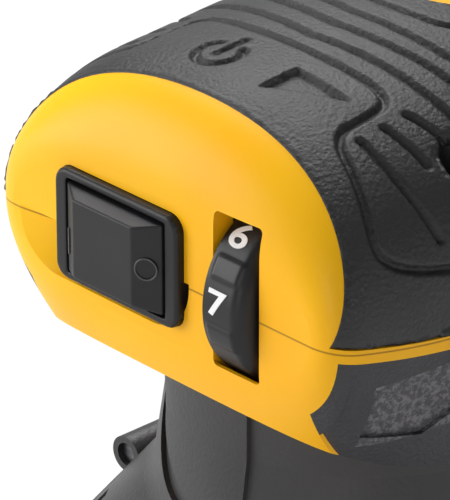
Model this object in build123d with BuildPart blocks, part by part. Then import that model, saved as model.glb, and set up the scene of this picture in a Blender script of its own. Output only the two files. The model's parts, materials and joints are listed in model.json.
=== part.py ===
# A palm-grip random orbital sander with a 125 mm pad, in millimetres, +Z up.
# The origin is on the motor axis, at the working face of the pad.
# The nose, with the switch and the speed dial, looks along -Y.
from build123d import *
from math import cos, pi, radians, sin, sqrt
import os

os.makedirs("parts", exist_ok=True)

# ---- fits and clearances ----
running_fit = 0.05          # radial, a shaft in its bearing
turning_gap = 0.6           # between pieces that turn past each other
slip_gap = 0.3              # between loose pieces that lie side by side
moulded_gap = 0.1           # between mouldings that plug together

# ---- pad ----
pad_radius = 62.5
hook_thickness = 1.2
foam_thickness = 8.3
foam_taper = 1.8            # the foam is this much smaller at its top
plate_thickness = 3.2
plate_margin = 3.0          # the plate is this much smaller than the foam's top
dust_hole_count = 8
dust_hole_radius = 4.5
dust_hole_circle = 32.5
pad_screw_count = 3
pad_screw_circle = 12.5
pad_screw_radius = 2.0
pad_screw_head = 3.8
pad_screw_length = 5.5
screw_head_height = 2.0

# ---- eccentric drive ----
orbit_offset = 1.2          # half of the 2.4 mm orbit
flange_radius = 18.0
flange_thickness = 3.5
spindle_radius = 5.0
shoulder_radius = 7.0
pad_bearing_radius = 14.0
pad_bearing_width = 9.0
retainer_thickness = 1.0
circlip_thickness = 1.0
circlip_width = 1.9
weight_wall = 3.6
weight_roof = 2.8
lobe_radius = 33.0
lobe_thickness = 6.0
lobe_span = 150.0
fan_radius = 40.0
fan_disc = 2.0
fan_hub_height = 7.0
upper_blade_count = 14
lower_blade_count = 10
blade_thickness = 1.4
blade_sweep = 28.0

# ---- motor ----
shaft_radius = 4.0
lower_bearing_radius = 11.0
lower_bearing_width = 7.0
bearing_lip = 0.8
bearing_seat_wall = 2.6
bearing_plate_rim = 1.2     # plate above the bearing
fan_gap = 2.0
winding_room = 8.0          # between the bearing plate and the stator
stator_radius = 27.0
stator_length = 28.0
yoke_width = 4.0
pole_half = 8.0
coil_width = 4.0
coil_overhang = 2.6         # the coils stand out of the stator at each end
armature_radius = 15.5
air_gap = 0.7
slot_count = 12
slot_width = 2.6
slot_depth = 3.4
winding_height = 4.5
winding_radius = 12.5
commutator_radius = 9.5
commutator_length = 10.0
segment_count = 12
upper_bearing_radius = 9.5
upper_bearing_width = 6.0
head_drop = 20.0            # the parting line above the stator
bracket_base = 3.0
bracket_height = 5.0
bracket_radius = 26.0
brush_height = 8.0
brush_width = 6.0
brush_length = 9.0
holder_wall = 1.0
holder_reach = 25.0

# ---- housing below the head ----
neck_radius = 34.5
neck_foot_radius = 36.8
neck_foot_rise = 2.0        # where the neck meets the flare, above the bearing plate
neck_blend = 9.0            # fillet between the neck and the flare
neck_wall = 2.6
neck_above_stator = 2.0
plate_flange = 3.0          # thickness of the bearing plate's flange
plate_ledge = 2.4           # width of the ledge that it hangs from
plate_screw_count = 4
plate_screw_radius = 1.5
skirt_radius = 63.0
skirt_height = 5.0
skirt_clearance = 1.6       # the skirt above the backing plate
rib_count = 4
rib_width = 4.0
brake_width = 2.6
brake_lip = 3.6
lug_radius = 3.5
lug_wall = 1.3
lug_x = 44.0
lug_front = -16.3
lug_length = 16.0
lug_drop = 8.0              # the lug's axis below the bearing plate's top
panel_left = -16.8
panel_right = 7.2
panel_low = 7.0             # the panel's lower edge above the bearing plate's top
panel_corner = 13.0
panel_proud = 0.9
panel_band = 4.2            # width of the sunk band round the panel
panel_band_depth = 0.8
port_radius = 14.0
port_wall = 2.0
port_socket = 20.0          # depth of the socket that a bag or hose plugs into
port_step = 1.0             # the shoulder at the bottom of the socket
port_end_y = 82.0
port_height = 34.0
vent_count = 5
vent_width = 3.0
vent_height = 9.0
vent_pitch = 9.0            # degrees between two vents

# ---- head ----
nose_y = -48.0
tail_y = 56.0
nose_corner_round = 4.5
nose_crown_round = 15.0
nose_belly_round = 11.5
head_half_width = 44.3
widest_y = -2.0
front_reach = 73.5          # plan: half length of the front curve
rear_reach = 62.0           # plan: half length of the rear curve
front_power = 3.1           # how square the plan is at the nose; 2 is an ellipse
rear_power = 2.2
crown_height = 33.0         # above the parting line
crown_y = 5.0
crown_front_fall = 5.0
crown_rear_reach = 53.0
crown_rear_power = 2.4
arch_fullness = 0.652       # of the upper section: 0.55 is an ellipse, 1 a rectangle
belly_fullness = 0.69
belly_depth = 60.0
belly_nose_depth = 23.5
belly_tail_depth = 34.0
grip_thickness = 2.0
shell_wall = 2.4
seam_sag = 5.3              # the parting line dips this far along the sides
seam_start_y = -47.0
seam_end_y = 58.0
seam_end_drop = 1.8
stripe_height = 2.5
rim_middle_drop = 35.0      # the lower rim below the parting line, at its lowest
rim_radius = 96.0           # the rim's sweep in side view
rim_middle_y = 5.0
floor_thickness = 2.6
side_grip_front = -46.0
grip_rear_margin = 6.0      # bare plastic at the tail
grip_inner_x = 34.0         # at the nose the grips stop this far from the middle
frame_width = 2.2           # raised frame of the side grip
frame_step = 0.7
inset_depth = 0.8           # the panel sunk in the side grip
inset_drop = 8.2            # its upper edge below the parting line
inset_front_y = -38.5
inset_rear_y = 20.0
inset_waist = (-27.0, 22.3)  # its lowest corner: place, and drop below the parting line
inset_shoulder = (-20.0, 19.2)
inset_front_drop = 19.8
inset_rear_drop = 16.0
arch_foot_y = -47.0         # where the rubber starts at the parting line
arch_lean = 0.32            # how far it leans back with height
window_front_y = 9.0
window_rear_y = 42.0
window_half_width = 11.0
well_radius = 3.8
boss_wall = 1.8
front_well = (35.5, -14.0)
rear_well = (30.5, 29.0)
cap_screw_radius = 2.0
cap_screw_length = 16.0

# ---- controls ----
switch_x = -8.7
switch_rise = 1.3           # the switch's centre above the parting line
boot_width = 30.3
boot_height = 20.6
boot_corner = 3.0
boot_front_y = -49.6
dish_depth = 2.8            # the nose is dished round the switch
dish_left = 12.0            # how far the dish opens to the left
dish_up = 10.0              # and upwards
dish_lip = 1.0              # and to the right and downwards
dish_round = 7.0
rocker_width = 24.3
rocker_height = 17.4
rocker_top_width = 14.4
rocker_top_height = 14.2
rocker_rise = 2.8
rocker_plate = 2.6
rocker_gap = 0.6
rocker_axis_y = -45.4
rocker_pin_radius = 0.8
switch_depth = 19.0
dial_x = 13.9
dial_width = 9.5
dial_radius = 16.0
dial_y = -35.3
dial_drop = 0.7             # the dial's axis below the parting line
dial_rim = 7.0              # flat part of the dial's rim
dial_rib_count = 24
dial_shaft_radius = 3.0
slot_margin_x = 0.5
slot_right_margin = 0.8
slot_up = 15.5
slot_down = 12.3
module_width = 7.6
module_depth = 17.0
module_height = 16.0

# ---- inlet ----
inlet_drop = 7.0            # the cord inlet's axis below the parting line
inlet_radius = 4.6
inlet_collar_radius = 8.0
inlet_length = 12.0

# ---- heights, worked up from the pad ----
hook_top = hook_thickness
foam_top = hook_top + foam_thickness
plate_top = foam_top + plate_thickness
flange_top = plate_top + flange_thickness
retainer_low = flange_top + turning_gap
bearing_low = retainer_low + retainer_thickness
bearing_top = bearing_low + pad_bearing_width
relief_top = bearing_top + circlip_thickness + 2 * turning_gap
weight_top = relief_top + weight_roof
sleeve_top = weight_top + fan_hub_height
bearing_plate_low = sleeve_top + fan_gap
lower_bearing_low = bearing_plate_low + bearing_lip
lower_bearing_top = lower_bearing_low + lower_bearing_width
bearing_plate_top = lower_bearing_top + bearing_plate_rim
stator_low = bearing_plate_top + winding_room
stator_top = stator_low + stator_length
seam_z = stator_top + head_drop
neck_top = stator_top + neck_above_stator
neck_foot_z = bearing_plate_top + neck_foot_rise
skirt_low = plate_top + skirt_clearance
rim_middle_z = seam_z - rim_middle_drop
switch_z = seam_z + switch_rise
dial_z = seam_z - dial_drop
inner_nose_y = nose_y + grip_thickness + shell_wall
everything = 4 * pad_radius  # long enough to pass through the whole tool


def edge_round(radius, depth):
    # how far a rounded edge has fallen back at this depth behind the nose face
    reach = min(max(depth, 0), radius)
    return radius - sqrt(radius**2 - (radius - reach) ** 2)


def half_width_at(y):
    reach, power = (front_reach, front_power) if y < widest_y else (rear_reach, rear_power)
    return head_half_width * (1 - (abs(y - widest_y) / reach) ** power) ** (1 / power)


def crown_at(y):
    if y < crown_y:
        return crown_height - crown_front_fall * ((crown_y - y) / (crown_y - nose_y)) ** 1.5
    fall = ((y - crown_y) / crown_rear_reach) ** crown_rear_power
    return crown_height * (1 - fall) ** (1 / crown_rear_power)


def belly_at(y):
    if y < widest_y:
        left = ((widest_y - y) / (widest_y - nose_y)) ** 2
        return belly_depth - (belly_depth - belly_nose_depth) * left
    left = ((y - widest_y) / (tail_y - widest_y)) ** 2
    return belly_depth - (belly_depth - belly_tail_depth) * left


def section_quarter(half_width, height, fullness):
    # a quarter of the head's section, from its side round to its middle; fullness 0.55 is an ellipse
    return Bezier((half_width, seam_z), (half_width, seam_z + fullness * height),
                  (fullness * half_width, seam_z + height), (0, seam_z + height))


def head_form(inset):
    # the head's outer form, or a form that lies evenly inside it
    front = nose_y + inset
    back = tail_y - inset
    nose_steps = [front + nose_crown_round * part for part in (0, 0.04, 0.14, 0.3, 0.52, 0.8)]
    body_steps = [front + (back - front) * part for part in (0.26, 0.38, 0.5, 0.62, 0.74, 0.86, 0.94, 1)]
    with BuildPart() as form:
        for y in nose_steps + body_steps:
            depth = y - front
            half_width = half_width_at(y) - inset - edge_round(nose_corner_round - inset, depth)
            crown = crown_at(y) - inset - edge_round(nose_crown_round - inset, depth)
            belly = belly_at(y) - inset - edge_round(nose_belly_round, depth)
            with BuildSketch(Plane.XZ.offset(-y)):
                with BuildLine():
                    for side in (1, -1):
                        section_quarter(side * half_width, crown, arch_fullness)
                        section_quarter(side * half_width, -belly, belly_fullness)
                make_face()
        loft()
    return form.part


def side_cylinder(radius, centre_y, centre_z):
    # a cylinder right across the tool, seen end-on from the side
    with BuildPart() as region:
        with BuildSketch(Plane.YZ):
            with Locations((centre_y, centre_z)):
                Circle(radius)
        extrude(amount=everything / 2, both=True)
    return region.part


def inside_rim(thickness):
    # what lies above the swept lower rim, less a thickness
    return side_cylinder(rim_radius - thickness, rim_middle_y, rim_middle_z + rim_radius)


def below_seam(drop):
    # everything lower than the parting line, or than a line this far below it
    start = (seam_start_y, seam_z - drop)
    end = (seam_end_y, seam_z - seam_end_drop - drop)
    middle = ((seam_start_y + seam_end_y) / 2, seam_z - seam_end_drop / 2 - seam_sag - drop)
    with BuildPart() as region:
        with BuildSketch(Plane.YZ):
            with BuildLine():
                Polyline(start, (-everything / 2, start[1]), (-everything / 2, 0),
                         (everything / 2, 0), (everything / 2, end[1]), end)
                ThreePointArc(end, middle, start)
            make_face()
        extrude(amount=everything / 2, both=True)
    return region.part


def side_block(*corners):
    # a prism right across the tool, with these corners in side view
    with BuildPart() as region:
        with BuildSketch(Plane.YZ):
            with BuildLine():
                Polyline(*corners, close=True)
            make_face()
        extrude(amount=everything / 2, both=True)
    return region.part


outer_form = head_form(0)
bed_form = head_form(grip_thickness)
cavity_form = head_form(grip_thickness + shell_wall)
plateau_form = head_form(frame_step)
panel_form = head_form(frame_step + inset_depth)

lid_height = crown_height + 10
with BuildPart() as grip_span:
    add(side_block((arch_foot_y - arch_lean * lid_height, seam_z - lid_height),
                   (arch_foot_y + arch_lean * lid_height, seam_z + lid_height),
                   (tail_y - grip_rear_margin, seam_z + lid_height),
                   (tail_y - grip_rear_margin, seam_z - lid_height)))
    with BuildSketch(Plane.XY.offset(seam_z - lid_height)):
        with Locations((0, nose_y)):
            Rectangle(2 * grip_inner_x, 2 * grip_thickness)
    extrude(amount=2 * lid_height, mode=Mode.SUBTRACT)
behind_arch = grip_span.part
with BuildPart() as flanks:
    add(side_block((side_grip_front, 0), (side_grip_front, seam_z),
                   (tail_y - grip_rear_margin, seam_z), (tail_y - grip_rear_margin, 0)))
    with BuildSketch():
        with Locations((0, side_grip_front)):
            Rectangle(2 * grip_inner_x, 2 * (widest_y - side_grip_front))
    extrude(amount=seam_z, mode=Mode.SUBTRACT)
side_grip_span = flanks.part
wells = [(side * x, y) for x, y in (front_well, rear_well) for side in (-1, 1)]
well_floor = seam_z + 2.0
boss_radius = well_radius + boss_wall


# ---- soft grip over the crown ----
with BuildPart() as top_grip:
    add(outer_form)
    add(behind_arch, mode=Mode.INTERSECT, clean=False)
    add(below_seam(0), mode=Mode.SUBTRACT, clean=False)
    add(bed_form, mode=Mode.SUBTRACT, clean=False)
    with BuildSketch(Plane.XY.offset(seam_z + crown_height / 2)):
        with Locations((0, (window_front_y + window_rear_y) / 2)):
            RectangleRounded(2 * window_half_width, window_rear_y - window_front_y, window_half_width - 2)
    extrude(amount=crown_height, mode=Mode.SUBTRACT, clean=False)
    with BuildSketch(Plane.XY.offset(well_floor)):
        with Locations(*wells):
            Circle(well_radius)
    extrude(amount=crown_height, mode=Mode.SUBTRACT, clean=False)
top_grip.part.label = "top_grip"
export_step(top_grip.part, "parts/top_grip.step")


def boot_face(margin):
    # the switch opening in the nose, seen from the front
    with BuildSketch(Plane.XZ) as face:
        with Locations((switch_x, switch_z)):
            RectangleRounded(boot_width + 2 * margin, boot_height + 2 * margin, boot_corner + margin)
    return face.sketch_local


# what is cut from the nose: the dish round the switch, the boot's opening and the dial's slot
slot_left = dial_x - slot_margin_x
slot_right = dial_x + dial_width + slot_right_margin
with BuildPart() as dish:
    for opening, depth in ((0.0, dish_depth), (0.35, dish_depth / 2), (1.0, -slip_gap)):
        with BuildSketch(Plane.XZ.offset(-nose_y - depth)):
            with Locations((switch_x - opening * (dish_left - dish_lip) / 2,
                            switch_z + opening * (dish_up - dish_lip) / 2)):
                RectangleRounded(boot_width + 2 * slip_gap + opening * (dish_left + dish_lip),
                                 boot_height + 2 * slip_gap + opening * (dish_up + dish_lip),
                                 boot_corner + slip_gap + opening * dish_round)
    loft()
with BuildPart() as nose_cuts:
    with BuildSketch(Plane.XZ.offset(-inner_nose_y - 1)):
        add(boot_face(0))
    extrude(amount=everything / 4)
    with BuildSketch(Plane.XZ.offset(-dial_y - 4)):
        with Locations(((slot_left + slot_right) / 2, seam_z + (slot_up - slot_down) / 2)):
            RectangleRounded(slot_right - slot_left, slot_up + slot_down, 1.0)
    extrude(amount=everything / 4)
    with BuildSketch(Plane.YZ.offset(slot_left)):
        with Locations((dial_y, dial_z)):
            Circle(dial_radius + turning_gap)
    extrude(amount=dial_width + 2 * slot_margin_x)


# ---- cap of the head: yellow nose, and the shell that carries the grip ----
with BuildPart() as cap_nose:
    add(outer_form)
    add(below_seam(0), mode=Mode.SUBTRACT, clean=False)
    add(behind_arch, mode=Mode.SUBTRACT, clean=False)
with BuildPart() as cap_bed:
    add(bed_form)
    add(below_seam(0), mode=Mode.SUBTRACT, clean=False)
    add(behind_arch, mode=Mode.INTERSECT, clean=False)
with BuildPart() as cap_cavity:
    add(cavity_form)
    with BuildSketch(Plane.XY.offset(seam_z - lid_height)):
        with Locations(*wells):
            Circle(boss_radius)
    extrude(amount=2 * lid_height, mode=Mode.SUBTRACT, clean=False)
with BuildPart() as top_cap:
    add(cap_bed.part)
    add(cap_nose.part, clean=False)
    add(cap_cavity.part, mode=Mode.SUBTRACT, clean=False)
    with BuildSketch(Plane.XZ.offset(-tail_y - 1)):
        with Locations((0, seam_z - inlet_drop)):
            Circle(inlet_collar_radius)
    extrude(amount=inlet_length + 1, mode=Mode.SUBTRACT, clean=False)
    with BuildSketch(Plane.XY.offset(well_floor)):
        with Locations(*wells):
            Circle(well_radius)
    extrude(amount=crown_height, mode=Mode.SUBTRACT, clean=False)
    with BuildSketch(Plane.XY.offset(seam_z - lid_height)):
        with Locations(*wells):
            Circle(cap_screw_radius + moulded_gap)
    extrude(amount=2 * lid_height, mode=Mode.SUBTRACT, clean=False)
    add(nose_cuts.part, mode=Mode.SUBTRACT, clean=False)
    add(dish.part, mode=Mode.SUBTRACT, clean=False)
top_cap.part.label = "top_cap"
export_step(top_cap.part, "parts/top_cap.step")


# ---- soft grips on the flanks, with a sunk panel in each ----
plateau_span = side_block(
    (side_grip_front + frame_width, 0),
    (side_grip_front + frame_width, seam_z),
    (tail_y - grip_rear_margin - frame_width, seam_z),
    (tail_y - grip_rear_margin - frame_width, 0),
)
panel_span = side_block(
    (inset_front_y, seam_z),
    (inset_front_y, seam_z - inset_front_drop),
    (inset_waist[0], seam_z - inset_waist[1]),
    (inset_shoulder[0], seam_z - inset_shoulder[1]),
    (inset_rear_y, seam_z - inset_rear_drop),
    (inset_rear_y, seam_z),
)
with BuildPart() as above_plateau:
    add(outer_form)
    add(below_seam(stripe_height + frame_width), mode=Mode.INTERSECT, clean=False)
    add(plateau_span, mode=Mode.INTERSECT, clean=False)
    add(plateau_form, mode=Mode.SUBTRACT, clean=False)
with BuildPart() as above_panel:
    add(outer_form)
    add(below_seam(inset_drop), mode=Mode.INTERSECT, clean=False)
    add(panel_span, mode=Mode.INTERSECT, clean=False)
    add(panel_form, mode=Mode.SUBTRACT, clean=False)
with BuildPart() as side_grips:
    add(outer_form)
    add(below_seam(stripe_height), mode=Mode.INTERSECT, clean=False)
    add(side_grip_span, mode=Mode.INTERSECT, clean=False)
    add(inside_rim(0), mode=Mode.INTERSECT, clean=False)
    add(bed_form, mode=Mode.SUBTRACT, clean=False)
    add(above_plateau.part, mode=Mode.SUBTRACT, clean=False)
    add(above_panel.part, mode=Mode.SUBTRACT, clean=False)
side_grips.part.label = "side_grips"
export_step(side_grips.part, "parts/side_grips.step")


# ---- lower shell: yellow chin and stripe, with a floor that the neck passes through ----
with BuildPart() as shell_nose:
    add(outer_form)
    add(below_seam(0), mode=Mode.INTERSECT, clean=False)
    add(inside_rim(0), mode=Mode.INTERSECT, clean=False)
    add(side_grip_span, mode=Mode.SUBTRACT, clean=False)
with BuildPart() as shell_stripe:
    add(outer_form)
    add(below_seam(0), mode=Mode.INTERSECT, clean=False)
    add(below_seam(stripe_height), mode=Mode.SUBTRACT, clean=False)
    add(side_grip_span, mode=Mode.INTERSECT, clean=False)
with BuildPart() as shell_bed:
    add(bed_form)
    add(below_seam(stripe_height), mode=Mode.INTERSECT, clean=False)
    add(inside_rim(0), mode=Mode.INTERSECT, clean=False)
    add(side_grip_span, mode=Mode.INTERSECT, clean=False)
with BuildPart() as shell_cavity:
    add(cavity_form)
    add(inside_rim(floor_thickness), mode=Mode.INTERSECT, clean=False)
    with BuildSketch():
        with Locations(*wells):
            Circle(boss_radius)
    extrude(amount=2 * seam_z, mode=Mode.SUBTRACT, clean=False)
with BuildPart() as lower_shell:
    add(shell_bed.part)
    add(shell_stripe.part, clean=False)
    add(shell_nose.part, clean=False)
    add(shell_cavity.part, mode=Mode.SUBTRACT, clean=False)
    with BuildSketch():
        Circle(neck_radius + moulded_gap)
    extrude(amount=seam_z, mode=Mode.SUBTRACT, clean=False)
    with BuildSketch(Plane.XY.offset(well_floor - cap_screw_length - 1)):
        with Locations(*wells):
            Circle(cap_screw_radius)
    extrude(amount=cap_screw_length, mode=Mode.SUBTRACT, clean=False)
    add(nose_cuts.part, mode=Mode.SUBTRACT, clean=False)
    add(dish.part, mode=Mode.SUBTRACT, clean=False)
    with BuildSketch(Plane.XZ.offset(-tail_y - 1)):
        with Locations((0, seam_z - inlet_drop)):
            Circle(inlet_collar_radius)
    extrude(amount=inlet_length + 1, mode=Mode.SUBTRACT, clean=False)
lower_shell.part.label = "lower_shell"
export_step(lower_shell.part, "parts/lower_shell.step")


def round_turned(name, profile):
    # a turned piece about the motor axis, from its half section as (radius, height) corners
    with BuildPart() as piece:
        with BuildSketch(Plane.XZ):
            with BuildLine():
                Polyline(*profile, close=True)
            make_face()
        revolve(axis=Axis.Z)
    piece.part.label = name
    export_step(piece.part, f"parts/{name}.step")
    return piece.part


def bearing(name, low, width, outside, bore, centre=(0, 0)):
    # a sealed ball bearing: two races with a shallow groove between them on each face
    groove = (bore + outside) / 2
    half = (outside - bore) / 6
    with BuildPart() as piece:
        with BuildSketch(Plane.XY.offset(low)):
            with Locations(centre):
                Circle(outside)
                Circle(bore, mode=Mode.SUBTRACT)
        extrude(amount=width)
        with BuildSketch(Plane.XY.offset(low), Plane.XY.offset(low + width - 0.5)):
            with Locations(centre):
                Circle(groove + half)
                Circle(groove - half, mode=Mode.SUBTRACT)
        extrude(amount=0.5, dir=(0, 0, 1), mode=Mode.SUBTRACT)
    piece.part.label = name
    export_step(piece.part, f"parts/{name}.step")


def screws(name, places, head_low, head_radius, shank_radius, shank_length, head_up=True, centre=(0, 0)):
    # pan head screws along the motor axis, with a six-sided socket in each head
    towards = 1 if head_up else -1
    with BuildPart() as piece:
        with BuildSketch(Plane.XY.offset(head_low)):
            with Locations(centre):
                with Locations(*places):
                    Circle(head_radius)
        extrude(amount=towards * screw_head_height)
        with BuildSketch(Plane.XY.offset(head_low)):
            with Locations(centre):
                with Locations(*places):
                    Circle(shank_radius)
        extrude(amount=-towards * shank_length)
        with BuildSketch(Plane.XY.offset(head_low + towards * screw_head_height)):
            with Locations(centre):
                with Locations(*places):
                    RegularPolygon(head_radius / 2, 6)
        extrude(amount=-towards * screw_head_height / 2, mode=Mode.SUBTRACT)
    piece.part.label = name
    export_step(piece.part, f"parts/{name}.step")


def ring_places(radius, count, start=0.0):
    # points evenly round a circle
    turns = [radians(start) + 2 * pi * step / count for step in range(count)]
    return [(radius * cos(turn), radius * sin(turn)) for turn in turns]


# ---- pad: hook layer, foam and backing plate on the eccentric axis ----
pad_centre = (orbit_offset, 0)
dust_places = ring_places(dust_hole_circle, dust_hole_count)
pad_screw_places = ring_places(pad_screw_circle, pad_screw_count, 90)
foam_top_radius = pad_radius - foam_taper
plate_radius = foam_top_radius - plate_margin
pad_screw_seat = plate_top - 1.2

with BuildPart() as hook_layer:
    with BuildSketch():
        with Locations(pad_centre):
            Circle(pad_radius)
            with Locations(*dust_places):
                Circle(dust_hole_radius, mode=Mode.SUBTRACT)
            with Locations(*pad_screw_places):
                Circle(pad_screw_head + slip_gap, mode=Mode.SUBTRACT)
    extrude(amount=hook_thickness)
hook_layer.part.label = "hook_layer"
export_step(hook_layer.part, "parts/hook_layer.step")

with BuildPart() as pad_foam:
    with BuildSketch(Plane.XY.offset(hook_top)):
        with Locations(pad_centre):
            Circle(pad_radius)
    with BuildSketch(Plane.XY.offset(foam_top)):
        with Locations(pad_centre):
            Circle(foam_top_radius)
    loft()
    with BuildSketch(Plane.XY.offset(hook_top)):
        with Locations(pad_centre):
            with Locations(*dust_places):
                Circle(dust_hole_radius)
            with Locations(*pad_screw_places):
                Circle(pad_screw_head + slip_gap)
    extrude(amount=foam_thickness, mode=Mode.SUBTRACT)
pad_foam.part.label = "pad_foam"
export_step(pad_foam.part, "parts/pad_foam.step")

with BuildPart() as backing_plate:
    with BuildSketch(Plane.XY.offset(foam_top)):
        with Locations(pad_centre):
            Circle(plate_radius)
            with Locations(*dust_places):
                Circle(dust_hole_radius, mode=Mode.SUBTRACT)
            with Locations(*pad_screw_places):
                Circle(pad_screw_radius + moulded_gap, mode=Mode.SUBTRACT)
    extrude(amount=plate_thickness)
    chamfer(backing_plate.edges().group_by(Axis.Z)[-1].sort_by(SortBy.LENGTH)[-1], length=1.0)
    with BuildSketch(Plane.XY.offset(foam_top)):
        with Locations(pad_centre):
            with Locations(*pad_screw_places):
                Circle(pad_screw_head + slip_gap)
    extrude(amount=pad_screw_seat - foam_top, mode=Mode.SUBTRACT)
backing_plate.part.label = "backing_plate"
export_step(backing_plate.part, "parts/backing_plate.step")
screws("pad_screws", pad_screw_places, pad_screw_seat, pad_screw_head, pad_screw_radius,
       pad_screw_length - 1.0, head_up=False, centre=pad_centre)

with BuildPart() as pad_spindle:
    with BuildSketch(Plane.XY.offset(plate_top)):
        with Locations(pad_centre):
            Circle(flange_radius)
    extrude(amount=flange_thickness)
    with BuildSketch(Plane.XY.offset(flange_top)):
        with Locations(pad_centre):
            Circle(shoulder_radius)
    extrude(amount=bearing_low - flange_top - slip_gap / 2)
    with BuildSketch(Plane.XY.offset(flange_top)):
        with Locations(pad_centre):
            Circle(spindle_radius)
    extrude(amount=bearing_top + slip_gap / 2 + circlip_thickness + turning_gap - flange_top)
    with BuildSketch(Plane.XY.offset(plate_top)):
        with Locations(pad_centre):
            with Locations(*pad_screw_places):
                Circle(pad_screw_radius)
    extrude(amount=flange_thickness, mode=Mode.SUBTRACT)
    with BuildSketch(Plane.XY.offset(bearing_top + slip_gap / 2)):
        with Locations(pad_centre):
            Circle(spindle_radius + 1)
            Circle(spindle_radius - 0.6, mode=Mode.SUBTRACT)
    extrude(amount=circlip_thickness, mode=Mode.SUBTRACT)
pad_spindle.part.label = "pad_spindle"
export_step(pad_spindle.part, "parts/pad_spindle.step")

with BuildPart() as spindle_circlip:
    with BuildSketch(Plane.XY.offset(bearing_top + slip_gap / 2)):
        with Locations(pad_centre):
            Circle(spindle_radius + circlip_width)
            Circle(spindle_radius - 0.6, mode=Mode.SUBTRACT)
            with Locations((spindle_radius + circlip_width / 2, 0)):
                Rectangle(2 * circlip_width + 2, 3, mode=Mode.SUBTRACT)
    extrude(amount=circlip_thickness)
spindle_circlip.part.label = "spindle_circlip"
export_step(spindle_circlip.part, "parts/spindle_circlip.step")

# ---- eccentric: bearing, balance weight, retainer and fan on the motor shaft ----
bearing("pad_bearing", bearing_low, pad_bearing_width, pad_bearing_radius, spindle_radius + running_fit, pad_centre)
weight_radius = pad_bearing_radius + weight_wall
retainer_screw_circle = pad_bearing_radius + weight_wall / 2
retainer_places = ring_places(retainer_screw_circle, 3, 30)

with BuildPart() as retainer:
    with BuildSketch(Plane.XY.offset(retainer_low)):
        with Locations(pad_centre):
            Circle(weight_radius)
            Circle(pad_bearing_radius - 2.5, mode=Mode.SUBTRACT)
            with Locations(*retainer_places):
                Circle(1.0 + moulded_gap, mode=Mode.SUBTRACT)
    extrude(amount=retainer_thickness)
retainer.part.label = "bearing_retainer"
export_step(retainer.part, "parts/bearing_retainer.step")

sleeve_radius = shaft_radius + 3.5
with BuildPart() as balance_weight:
    with BuildSketch(Plane.XY.offset(bearing_low)):
        with Locations(pad_centre):
            Circle(weight_radius)
    extrude(amount=weight_top - bearing_low)
    with BuildSketch(Plane.XY.offset(bearing_top - lobe_thickness)):
        with BuildLine():
            sweep_from = 180 - lobe_span / 2
            lobe_arc = CenterArc((0, 0), lobe_radius, sweep_from, lobe_span)
            Polyline(lobe_arc @ 1, (0, 0), lobe_arc @ 0)
        make_face()
    extrude(amount=lobe_thickness)
    with BuildSketch(Plane.XY.offset(weight_top)):
        Circle(sleeve_radius)
    extrude(amount=fan_hub_height)
    with BuildSketch(Plane.XY.offset(bearing_low)):
        with Locations(pad_centre):
            Circle(pad_bearing_radius)
    extrude(amount=pad_bearing_width, mode=Mode.SUBTRACT)
    with BuildSketch(Plane.XY.offset(bearing_top)):
        with Locations(pad_centre):
            Circle(pad_bearing_radius - 3.5)
    extrude(amount=relief_top - bearing_top, mode=Mode.SUBTRACT)
    with BuildSketch(Plane.XY.offset(relief_top + 0.8)):
        Circle(shaft_radius)
    extrude(amount=sleeve_top - relief_top, mode=Mode.SUBTRACT)
    with BuildSketch(Plane.XY.offset(bearing_low)):
        with Locations(pad_centre):
            with Locations(*retainer_places):
                Circle(1.0)
    extrude(amount=5, mode=Mode.SUBTRACT)
balance_weight.part.label = "balance_weight"
export_step(balance_weight.part, "parts/balance_weight.step")

with BuildPart() as retainer_screws:
    with BuildSketch(Plane.XY.offset(retainer_low)):
        with Locations(pad_centre):
            with Locations(*retainer_places):
                Circle(1.0)
    extrude(amount=retainer_thickness + 4)
retainer_screws.part.label = "retainer_screws"
export_step(retainer_screws.part, "parts/retainer_screws.step")


def fan_blades(low, height, inside, count, start):
    # straight blades set at a slant to the radius
    with BuildPart() as blades:
        with BuildSketch(Plane.XY.offset(low)):
            with PolarLocations(0, count, start):
                with Locations(((inside + fan_radius - 1) / 2, 0)):
                    Rectangle(fan_radius - 1 - inside, blade_thickness, rotation=blade_sweep)
        extrude(amount=height)
    return blades.part


upper_blades = fan_blades(weight_top + fan_disc, fan_hub_height - fan_disc, 19, upper_blade_count, 0)
lower_blades = fan_blades(bearing_top + slip_gap, weight_top - bearing_top - slip_gap, 24, lower_blade_count, 10)
with BuildPart() as fan:
    with BuildSketch(Plane.XY.offset(weight_top)):
        Circle(fan_radius)
    extrude(amount=fan_disc)
    with BuildSketch(Plane.XY.offset(weight_top)):
        Circle(sleeve_radius + 3)
    extrude(amount=fan_hub_height)
    add(upper_blades)
    add(lower_blades)
    with BuildSketch(Plane.XY.offset(weight_top)):
        Circle(sleeve_radius)
    extrude(amount=fan_hub_height, mode=Mode.SUBTRACT)
fan.part.label = "fan"
export_step(fan.part, "parts/fan.step")

# ---- motor ----
commutator_low = stator_top + winding_height + 3.0
upper_bearing_low = commutator_low + commutator_length + 3.5
upper_bearing_top = upper_bearing_low + upper_bearing_width
bracket_base_top = stator_top + bracket_base
bracket_top = bracket_base_top + bracket_height

round_turned("motor_shaft", [
    (0, relief_top + 0.8),
    (shaft_radius, relief_top + 0.8),
    (shaft_radius, upper_bearing_low - 0.5),
    (shaft_radius - 1, upper_bearing_low - 0.5),
    (shaft_radius - 1, upper_bearing_top - 0.4),
    (0, upper_bearing_top - 0.4),
])
bearing("lower_bearing", lower_bearing_low, lower_bearing_width, lower_bearing_radius, shaft_radius + running_fit)
bearing("upper_bearing", upper_bearing_low, upper_bearing_width, upper_bearing_radius, shaft_radius - 1 + running_fit)

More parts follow.
